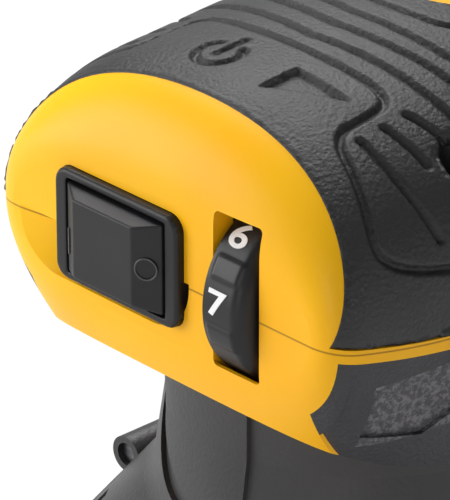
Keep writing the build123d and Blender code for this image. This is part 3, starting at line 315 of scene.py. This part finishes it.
def plainPlastic(name, dark, pale, rough, grain=1800, strength=0.25, depth=0.06, shine=0.5):
    finish = Finish(name)
    stain = finish.ease(finish.noise(plastic["stain"], 3), *stainEdge)
    return finish.set(
        Base_Color=finish.tint(stain, dark, pale),
        Roughness=finish.noise(plastic["roughScale"], 3) * plastic["roughSpread"] + rough,
        Normal=finish.relief(finish.noise(grain, 3, 0.6), strength, depth * mm),
        Specular_IOR_Level=shine)


metal = {"roughSpread": 0.2, "strength": 0.15, "depth": 0.03}


def metalFinish(name, dark, pale, rough, streak=(40, 40, 900)):
    finish = Finish(name)
    where = finish.node("ShaderNodeMapping", Vector=finish.place, Scale=streak)
    lines = finish.noise(1.0, 4, 0.6, where)
    return finish.set(
        Base_Color=finish.tint(finish.ease(lines, *stainEdge), dark, pale),
        Metallic=1.0,
        Roughness=lines * metal["roughSpread"] + rough,
        Normal=finish.relief(lines, metal["strength"], metal["depth"] * mm))


plastics = {
    "boot rubber": {"dark": colour(0.008, 0.008, 0.009), "pale": colour(0.014, 0.013, 0.015), "rough": 0.40,
                    "grain": 2400, "strength": 0.2, "shine": 0.35},
    "mark rubber": {"dark": colour(0.05, 0.049, 0.052), "pale": colour(0.07, 0.069, 0.072), "rough": 0.3,
                    "grain": 2400, "strength": 0.1},
    "housing nylon": {"dark": colour(0.024, 0.024, 0.025), "pale": colour(0.034, 0.033, 0.035), "rough": 0.42,
                      "grain": 1100, "strength": 0.6, "depth": 0.2},
    "dial plastic": {"dark": colour(0.006, 0.006, 0.007), "pale": colour(0.012, 0.012, 0.014), "rough": 0.36,
                     "grain": 2200, "strength": 0.3, "shine": 0.35},
    "inner plastic": {"dark": colour(0.028, 0.028, 0.030), "pale": colour(0.04, 0.04, 0.042), "rough": 0.55},
    "pad foam": {"dark": colour(0.045, 0.045, 0.048), "pale": colour(0.075, 0.075, 0.078), "rough": 0.85,
                 "grain": 900, "strength": 0.8, "depth": 0.2},
    "hook face": {"dark": colour(0.02, 0.02, 0.02), "pale": colour(0.06, 0.06, 0.06), "rough": 0.9,
                  "grain": 1400, "strength": 1.0, "depth": 0.3},
    "number paint": {"dark": colour(0.80, 0.80, 0.80), "pale": colour(0.88, 0.88, 0.88), "rough": 0.5},
    "carbon": {"dark": colour(0.03, 0.03, 0.03), "pale": colour(0.06, 0.06, 0.06), "rough": 0.6},
}
metals = {
    "ground steel": {"dark": colour(0.42, 0.42, 0.43), "pale": colour(0.6, 0.6, 0.61), "rough": 0.25},
    "dark screw steel": {"dark": colour(0.14, 0.14, 0.145), "pale": colour(0.24, 0.24, 0.25), "rough": 0.35},
    "bearing steel": {"dark": colour(0.55, 0.55, 0.56), "pale": colour(0.7, 0.7, 0.71), "rough": 0.15},
    "cast alloy": {"dark": colour(0.5, 0.5, 0.51), "pale": colour(0.62, 0.62, 0.63), "rough": 0.4,
                   "streak": (300, 300, 300)},
    "laminations": {"dark": colour(0.18, 0.18, 0.19), "pale": colour(0.3, 0.3, 0.31), "rough": 0.4,
                    "streak": (10, 10, 2000)},
    "copper wire": {"dark": colour(0.45, 0.16, 0.06), "pale": colour(0.72, 0.32, 0.14), "rough": 0.3,
                    "streak": (60, 60, 1400)},
    "brass": {"dark": colour(0.55, 0.38, 0.12), "pale": colour(0.75, 0.55, 0.22), "rough": 0.3},
}
gripTop = gripRubber("grip rubber", crownRubber)
gripSide = gripRubber("flank rubber", flankRubber, flankPanel)
finishes = {name: plainPlastic(name, **look) for name, look in plastics.items()}
finishes.update({name: metalFinish(name, **look) for name, look in metals.items()})
bySlot = {
    "yellow_shell": yellowPlastic(), "grip_rubber": gripTop, "boot_rubber": finishes["boot rubber"],
    "housing_plastic": finishes["housing nylon"], "dial_plastic": finishes["dial plastic"],
    "inner_plastic": finishes["inner plastic"], "pad_foam": finishes["pad foam"],
    "hook_face": finishes["hook face"], "steel": finishes["ground steel"],
    "screw_steel": finishes["dark screw steel"], "bearing_steel": finishes["bearing steel"],
    "cast_alloy": finishes["cast alloy"], "laminations": finishes["laminations"],
    "copper": finishes["copper wire"], "brass": finishes["brass"], "carbon": finishes["carbon"],
}
for part in frame["record"]["subparts"]:
    dress(nodes[part["node"]], bySlot[part["material_slot"]])
dress(nodes["side_grips"], gripSide)
print("materials made")


def soften(name, newName, material, grain, finishing, body="housing"):
    # the node's own form, remeshed finely, with its edges rounded as a mould leaves them
    twin = copyNode(name, newName)
    pick(twin)
    twin.data.remesh_voxel_size = grain * mm
    bpy.ops.object.voxel_remesh()
    finishing(twin)
    pick(twin)
    bpy.ops.object.shade_smooth_by_angle(angle=math.radians(modelling["mouldAngle"]))
    dress(twin, material)
    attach(twin, body)
    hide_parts(name)
    return twin


# lengths in mm; grooves and marks are pressed into the rubber to a depth
crown = {"grain": 0.9, "rounds": 6, "snap": 0.75, "archFoot": -47.0, "archLean": 0.32, "tail": 50.0,
         "coreShare": 0.6, "border": 2.0, "depth": 1.05, "halfWidth": 0.85, "grooveEdge": (0.35, 1.15),
         "reach": 1.9, "above": 50.0, "least": 0.001}
powerMark = {"at": (-6.9, -27.8), "radius": 4.1, "opening": 38.0, "bar": (-0.6, 6.2), "ringSteps": 60,
             "barSteps": 20}
ramp = {"corners": ((7.1, -31.6), (7.0, -23.4), (19.6, -23.4)), "depth": 1.3, "edge": 0.25, "reach": 1.2,
        "flatness": 0.5}
# each route is one half of the pattern, from the middle outwards: place, and height above the parting line
fullRoutes = [
    [(0, -18, 31.4), (10, -17.8, 31), (22.9, -17, 28.5), (23.6, -24, 27.6), (23.8, -31.6, 26.6),
     (32, -34, 22), (38.6, -37, 15), (40.6, -36.2, 11.8), (42.2, -30.5, 9), (43.6, -20, 6.8), (44.2, -4, 6),
     (44, 12, 5.8), (40, 28, 6), (30, 42, 6.2), (15, 49.5, 6.4), (0, 50.5, 6.4)],
    [(0, -13.7, 31.8), (12, -12.4, 31), (21, -11.7, 29.5), (27, -11, 27), (31.2, -10.4, 24.6)],
    [(0, -8.4, 32.4), (10, -7.5, 31.9), (20, -6, 30.1), (28, -5, 27), (34, -3.5, 22.5), (38, -2, 17.5)],
    [(0, -3.2, 32.6), (10, -2.5, 32.2), (20, -1.5, 30.3), (29, 0, 26.4), (36, 2, 20.5), (40, 4, 14.5)],
    [(0, 2.4, 32.9), (8, 3, 32.6), (14.5, 5, 31.7), (16, 12, 31.3), (16, 26, 30), (16, 38, 26.5),
     (11, 46.5, 21), (0, 47.5, 19)],
]
sideRoutes = [
    [(26.2, -17.4, 26.6), (29.4, -15.6, 24.6), (31.6, -15, 23)],
    [(26.8, -22.8, 26.6), (31, -21.6, 24.4), (34.4, -20.8, 21.6)],
    [(27, -28.4, 26), (33.6, -28, 22), (38, -26.6, 18.2), (41.4, -24.6, 12.4)],
    [(22, 6, 28.7), (30, 8, 25), (37, 11, 18), (41, 14, 10)],
    [(22, 13, 28.4), (30, 15, 24.5), (36.5, 18, 17), (40, 21, 9.6)],
    [(22, 34, 22.5), (27, 39, 17), (30, 42, 9.8)],
]


def strand(points, perSpan=24):
    # places along a smooth curve that rounds the corners of a route, given in mm above the parting line
    curve = bpy.data.curves.new("guide", "CURVE")
    curve.dimensions = "3D"
    spline = curve.splines.new("NURBS")
    spline.points.add(len(points) - 1)
    for knot, (x, y, rise) in zip(spline.points, points):
        knot.co = (x * mm, y * mm, seamHeight + rise * mm, 1)
    spline.order_u = 3
    spline.use_endpoint_u = True
    spline.resolution_u = perSpan
    guide = bpy.data.objects.new("guide", curve)
    line = bpy.data.meshes.new_from_object(guide)
    places = [vertex.co.copy() for vertex in line.vertices]
    bpy.data.objects.remove(guide)
    bpy.data.meshes.remove(line)
    return places


def fromCore(place):
    # the way out from the middle of the head to a place on it
    return place - Vector((0, place.y * crown["coreShare"], seamHeight))


def outwardSkin(thing):
    # the outer faces alone, so that a route lands on the outside of the wall
    mesh = thing.data
    faces = [list(face.vertices) for face in mesh.polygons if face.normal.dot(fromCore(face.center)) > 0]
    return BVHTree.FromPolygons([vertex.co for vertex in mesh.vertices], faces)


def powerMarkPlaces(skin):
    # an open ring and an upright bar, dropped onto the crown from above
    markX, markY = powerMark["at"]
    radius = powerMark["radius"]
    opening = math.radians(powerMark["opening"])
    spots = []
    for step in range(powerMark["ringSteps"] + 1):
        angle = math.pi / 2 + opening + (2 * math.pi - 2 * opening) * step / powerMark["ringSteps"]
        spots.append((markX + radius * math.cos(angle), markY + radius * math.sin(angle)))
    low, high = powerMark["bar"]
    for step in range(powerMark["barSteps"] + 1):
        spots.append((markX, markY + low + (high - low) * step / powerMark["barSteps"]))
    start = capTop + crown["above"] * mm
    return [skin.ray_cast(Vector((x * mm, y * mm, start)), (0, 0, -1))[0] for x, y in spots]


def groovePlaces(skin):
    places = []
    for route in fullRoutes + sideRoutes:
        for side in (1, -1):
            line = strand([(side * x, y, rise) for x, y, rise in route])
            places += [skin.find_nearest(place)[0] for place in line]
    return places


def insideRamp(place):
    # how far inside the wedge mark's triangle a place is, in mm
    corners = [Vector((x * mm, y * mm)) for x, y in ramp["corners"]]
    flat = Vector((place.x, place.y))
    depths = []
    for index in range(3):
        start, end = corners[index], corners[(index + 1) % 3]
        along = (end - start).normalized()
        depths.append((flat - start).dot(Vector((along.y, -along.x))))
    return min(depths) / mm


def onOutside(place, normal):
    return normal.dot(fromCore(place)) > 0 and place.z > seamHeight - crown["border"] * mm


def refine(piece, lines):
    # smaller faces beside the grooves and marks
    pickNone()
    for face in piece.data.polygons:
        besideLine = lines.find(face.center)[2] < crown["reach"] * mm
        near = besideLine or insideRamp(face.center) > -ramp["reach"]
        face.select = near and onOutside(face.center, face.normal)
    for vertex in piece.data.vertices:
        vertex.select = False
    for edge in piece.data.edges:
        edge.select = False
    bpy.context.view_layer.objects.active = piece
    bpy.ops.object.mode_set(mode="EDIT")
    bpy.context.tool_settings.mesh_select_mode = (False, False, True)
    bpy.ops.mesh.subdivide(number_cuts=1)
    bpy.ops.object.mode_set(mode="OBJECT")


def carveCrown(piece):
    skin = outwardSkin(piece)
    places = groovePlaces(skin) + powerMarkPlaces(skin)
    lines = KDTree(len(places))
    for index, place in enumerate(places):
        lines.insert(place, index)
    lines.balance()
    refine(piece, lines)
    start, end = (share * crown["halfWidth"] for share in crown["grooveEdge"])
    moves = []
    for vertex in piece.data.vertices:
        if not onOutside(vertex.co, vertex.normal):
            continue
        distance = lines.find(vertex.co)[2] / mm
        sink = crown["depth"] * (1 - fade(distance, start, end))
        if vertex.normal.z > ramp["flatness"]:
            sink = max(sink, ramp["depth"] * fade(insideRamp(vertex.co), -ramp["edge"], ramp["edge"]))
        if sink > crown["least"]:
            moves.append((vertex.index, vertex.normal.copy() * -sink * mm))
    for index, move in moves:
        piece.data.vertices[index].co += move


def trimCrown(piece):
    # its borders are drawn straight onto the arch, the tail and the parting line
    lean = Vector((0, 1, -crown["archLean"])).normalized()
    foot = Vector((0, crown["archFoot"] * mm, seamHeight))
    centre, radius = seamArc()
    reach = crown["snap"] * mm
    for vertex in piece.data.vertices:
        place = vertex.co
        gap = (place - foot).dot(lean)
        if abs(gap) < reach:
            place -= lean * gap
        if abs(place.y - crown["tail"] * mm) < reach:
            place.y = crown["tail"] * mm
        arm = Vector((place.y / mm - centre.x, (place.z - seamHeight) / mm - centre.y))
        if abs(arm.length - radius) * mm < reach and arm.y < 0:
            arm *= radius / arm.length
            place.y = (arm.x + centre.x) * mm
            place.z = seamHeight + (arm.y + centre.y) * mm


def finishCrown(piece):
    relax(piece, crown["rounds"])
    trimCrown(piece)
    carveCrown(piece)


crownGrip = soften("top_grip", "crownGrip", gripTop, crown["grain"], finishCrown)
print("crown grip:", len(crownGrip.data.polygons), "faces")

switch = {"bootGrain": 0.4, "rockerGrain": 0.35, "rounds": 2}
# the rocker's front has a plateau on a wider base, and rises between the two
facets = {"plateau": 14.4, "base": 24.3, "rise": 2.8}
offRing = {"at": (0.7, 107.1), "radius": 1.9, "wire": 0.17, "segments": 48, "wireSegments": 10}
onBar = {"at": (-18.7, 105.3), "size": (0.5, 0.3, 4.8), "bevel": 0.12, "bevelSegments": 3}


def roundSwitch(piece):
    relax(piece, switch["rounds"])


def onFacet(across):
    # how far forward the rocker's slanting facet stands, at this many mm across
    frontFace = nodeBox("switch_rocker")[0].y
    aside = abs(across * mm - bootCentre.x) - facets["plateau"] / 2 * mm
    return frontFace + aside * math.tan(facetSlant())


def facetSlant():
    return math.atan2(facets["rise"], (facets["base"] - facets["plateau"]) / 2)


def switchMarks():
    # a ring and a bar, raised on the rocker's two slanting facets
    across, height = offRing["at"]
    pickNone()
    bpy.ops.mesh.primitive_torus_add(
        location=(across * mm, onFacet(across), height * mm), rotation=(math.pi / 2, 0, facetSlant()),
        major_radius=offRing["radius"] * mm, minor_radius=offRing["wire"] * mm,
        major_segments=offRing["segments"], minor_segments=offRing["wireSegments"])
    ring = settle(bpy.context.object, "offMark")
    across, height = onBar["at"]
    pickNone()
    bpy.ops.mesh.primitive_cube_add(
        size=1, location=(across * mm, onFacet(across), height * mm), rotation=(0, 0, -facetSlant()))
    bar = bpy.context.object
    bar.dimensions = [length * mm for length in onBar["size"]]
    bpy.ops.object.transform_apply(location=False, rotation=False, scale=True)
    edge = bar.modifiers.new("edge", "BEVEL")
    edge.width = onBar["bevel"] * mm
    edge.segments = onBar["bevelSegments"]
    applyAll(bar)
    bar = settle(bar, "onMark")
    for mark in (ring, bar):
        pick(mark)
        bpy.ops.object.shade_smooth_by_angle(angle=math.radians(modelling["smallAngle"]))
        dress(mark, finishes["mark rubber"])
        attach(mark, "rocker")


bootRubber = finishes["boot rubber"]
soften("switch_boot", "switchBoot", bootRubber, switch["bootGrain"], roundSwitch)
soften("switch_rocker", "switchRocker", bootRubber, switch["rockerGrain"], roundSwitch, body="rocker")
switchMarks()
print("switch done")

# lengths in mm, angles in degrees; the raised pads lie between the numbers
dial = {"radius": 16.0, "bore": 3.1, "hub": 9.0, "edge": 0.5, "shoulder": 2.6, "shoulderDrop": 4.5,
        "rimSteps": 16, "shoulderSteps": 8, "turns": 240, "mergeGap": 0.005, "rimBand": 0.1,
        "topAngle": 7.0, "step": 43.0}
pads = {"proud": 0.35, "span": 15.0, "from": 15.2, "to": 21.6, "spanEdge": (-1.5, 0.5),
        "sideEdge": (-0.3, 0.4)}
numbers = {"signs": "1234567", "middle": 17.4, "height": 4.3, "capShare": 0.7, "weight": 0.024,
           "widen": 1.4, "proud": 0.12, "cuts": 5, "cutStep": 0.45}


def aroundDial(x, angle, radius):
    return Vector((x, dialCentre.y - radius * math.cos(angle), dialCentre.z + radius * math.sin(angle)))


def dialOutline():
    # half of the wheel's section: along the rim, and down over the rounded shoulder on the right
    left, right = dialLow.x, dialHigh.x
    bore, hub, rim = dial["bore"] * mm, dial["hub"] * mm, dial["radius"] * mm
    edge = dial["edge"] * mm
    shoulder = right - dial["shoulder"] * mm
    drop = dial["shoulderDrop"] * mm
    outline = [(left, bore), (left, hub), (left, rim - edge)]
    steps = dial["rimSteps"]
    outline += [(left + edge + (shoulder - left - edge) * step / steps, rim) for step in range(steps + 1)]
    for step in range(1, dial["shoulderSteps"] + 1):
        turn = math.pi / 2 * step / dial["shoulderSteps"]
        outline.append((shoulder + (right - shoulder) * math.sin(turn), rim - drop * (1 - math.cos(turn))))
    return outline + [(right, hub), (right, bore)]


def raisePads(mesh):
    for vertex in mesh.vertices:
        arm = Vector((0, vertex.co.y - dialCentre.y, vertex.co.z - dialCentre.z))
        if arm.length < (dial["radius"] - dial["rimBand"]) * mm:
            continue
        angle = math.degrees(math.atan2(arm.z, -arm.y)) - dial["topAngle"]
        fromPad = abs(angle % dial["step"] - dial["step"] / 2)
        across = min(vertex.co.x / mm - pads["from"], pads["to"] - vertex.co.x / mm)
        start, end = (pads["span"] / 2 + margin for margin in pads["spanEdge"])
        rise = (1 - fade(fromPad, start, end)) * fade(across, *pads["sideEdge"])
        vertex.co += arm.normalized() * rise * pads["proud"] * mm


def dialWheel():
    corners = [aroundDial(x, 0, radius) for x, radius in dialOutline()]
    edges = [(index, index + 1) for index in range(len(corners) - 1)] + [(len(corners) - 1, 0)]
    mesh = bpy.data.meshes.new("dialWheel")
    mesh.from_pydata(corners, edges, [])
    wheel = bpy.data.objects.new("dialWheel", mesh)
    bpy.context.scene.collection.objects.link(wheel)
    pick(wheel)
    bpy.ops.object.mode_set(mode="EDIT")
    bpy.ops.mesh.select_all(action="SELECT")
    axle = (0, dialCentre.y, dialCentre.z)
    bpy.ops.mesh.spin(steps=dial["turns"], angle=2 * math.pi, center=axle, axis=(1, 0, 0))
    bpy.ops.mesh.remove_doubles(threshold=dial["mergeGap"] * mm)
    bpy.ops.mesh.normals_make_consistent(inside=False)
    bpy.ops.object.mode_set(mode="OBJECT")
    raisePads(mesh)
    bpy.ops.object.shade_smooth_by_angle(angle=math.radians(modelling["smallAngle"]))
    dress(wheel, finishes["dial plastic"])
    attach(wheel, "dial")
    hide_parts("speed_dial")


def dialNumber(index, sign):
    # a raised number, cut into strips so that it can follow the rim
    pickNone()
    bpy.ops.object.text_add()
    text = bpy.context.object
    text.data.body = sign
    text.data.align_x = "CENTER"
    text.data.align_y = "CENTER"
    text.data.size = numbers["height"] * mm / numbers["capShare"]
    text.data.offset = numbers["weight"] * numbers["height"] * mm
    text.data.extrude = numbers["proud"] * mm
    bpy.ops.object.convert(target="MESH")
    text = bpy.context.object
    flat = text.data
    middle = (max(v.co.y for v in flat.vertices) + min(v.co.y for v in flat.vertices)) / 2
    bpy.ops.object.mode_set(mode="EDIT")
    for cut in range(-numbers["cuts"], numbers["cuts"] + 1):
        bpy.ops.mesh.select_all(action="SELECT")
        bpy.ops.mesh.bisect(plane_co=(0, middle + cut * numbers["cutStep"] * mm, 0), plane_no=(0, 1, 0))
    bpy.ops.object.mode_set(mode="OBJECT")
    centre = math.radians(dial["topAngle"] + index * dial["step"])
    radius = dial["radius"] * mm
    for vertex in flat.vertices:
        angle = centre + (vertex.co.y - middle) / radius
        across = numbers["middle"] * mm + vertex.co.x * numbers["widen"]
        vertex.co = aroundDial(across, angle, radius + vertex.co.z)
    return text


def dialNumbers():
    row = [dialNumber(index, sign) for index, sign in enumerate(reversed(numbers["signs"]))]
    pick(*row)
    bpy.ops.object.join()
    joined = settle(bpy.context.object, "dialNumbers")
    dress(joined, finishes["number paint"])
    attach(joined, "dial")


dialWheel()
dialNumbers()
print("dial done")

# angles in degrees, distance in metres, lens in mm, and the target in mm from the axis and the parting line
camera = {"azimuth": 47.0, "elevation": 26.2, "distance": 0.75, "lens": 324.0, "sensor": 36.0,
          "nearest": 0.05, "right": -3.1, "back": -30.0, "drop": 3.6}


def placeCamera():
    turn = math.radians(camera["azimuth"])
    rise = math.radians(camera["elevation"])
    towards = Vector((math.sin(turn) * math.cos(rise), -math.cos(turn) * math.cos(rise), math.sin(rise)))
    target = Vector((camera["right"] * mm, camera["back"] * mm, seamHeight - camera["drop"] * mm))
    pickNone()
    bpy.ops.object.camera_add(location=target + towards * camera["distance"])
    lens = bpy.context.object
    lens.rotation_euler = towards.to_track_quat("Z", "Y").to_euler()
    lens.data.lens = camera["lens"]
    lens.data.sensor_width = camera["sensor"]
    lens.data.clip_start = camera["nearest"]
    bpy.context.scene.camera = lens


# places and sizes in metres, power in watts
lamps = {
    "overhead": {"place": (-0.45, 0.32, 0.88), "size": (0.7, 0.6), "power": 10.5},
    "frontLeft": {"place": (-0.75, -0.65, 0.40), "size": (0.6, 0.7), "power": 8.0},
    "frontRight": {"place": (0.55, -0.95, 0.35), "size": (0.35, 0.6), "power": 2.2},
    "rightFill": {"place": (0.95, 0.15, 0.30), "size": (0.4, 0.5), "power": 0.8},
}


def hangLamps():
    # every lamp looks at the head
    for name, look in lamps.items():
        pickNone()
        bpy.ops.object.light_add(type="AREA", location=look["place"])
        lamp = bpy.context.object
        lamp.name = name
        lamp.data.shape = "RECTANGLE"
        lamp.data.size, lamp.data.size_y = look["size"]
        lamp.data.energy = look["power"]
        away = Vector(look["place"]) - Vector((0, 0, seamHeight))
        lamp.rotation_euler = away.to_track_quat("Z", "Y").to_euler()


# the floor lies a hair under the pad, and shows white to the camera and in reflections
studio = {"floorSize": 6, "floorDrop": 0.4, "floorColour": colour(0.86, 0.86, 0.86), "floorRough": 0.7,
          "whiteShare": 0.85, "sky": 0.20}


def layFloor():
    finish = Finish("pale floor")
    finish.set(Base_Color=studio["floorColour"], Roughness=studio["floorRough"])
    ray = finish.node("ShaderNodeLightPath", out="Is Camera Ray")
    shine = finish.node("ShaderNodeLightPath", out="Is Glossy Ray")
    glow = finish.node("ShaderNodeEmission", Color=colour(1, 1, 1), Strength=1.0)
    share = finish.math("MAXIMUM", ray, shine) * studio["whiteShare"]
    plain = Sock(finish, finish.shader.outputs[0])
    mixed = finish.node("ShaderNodeMixShader", Fac=share, i1=plain, i2=glow)
    finish.links.new(mixed.socket, finish.nodes["Material Output"].inputs["Surface"])
    pickNone()
    bpy.ops.mesh.primitive_plane_add(size=studio["floorSize"], location=(0, 0, -studio["floorDrop"] * mm))
    floor = bpy.context.object
    floor.name = "studioFloor"
    dress(floor, finish.material)


def lightWorld():
    # a dim sky for the object, and plain white where the camera sees past the floor
    world = bpy.data.worlds.new("studio")
    bpy.context.scene.world = world
    world.use_nodes = True
    tree = world.node_tree
    sky = tree.nodes["Background"]
    sky.inputs["Color"].default_value = colour(1, 1, 1)
    sky.inputs["Strength"].default_value = studio["sky"]
    white = tree.nodes.new("ShaderNodeBackground")
    white.inputs["Strength"].default_value = 1.0
    rays = tree.nodes.new("ShaderNodeLightPath")
    blend = tree.nodes.new("ShaderNodeMixShader")
    tree.links.new(rays.outputs["Is Camera Ray"], blend.inputs[0])
    tree.links.new(sky.outputs[0], blend.inputs[1])
    tree.links.new(white.outputs[0], blend.inputs[2])
    tree.links.new(blend.outputs[0], tree.nodes["World Output"].inputs["Surface"])


placeCamera()
hangLamps()
layFloor()
lightWorld()
bpy.context.scene.view_settings.view_transform = "Standard"
print("camera and studio ready")
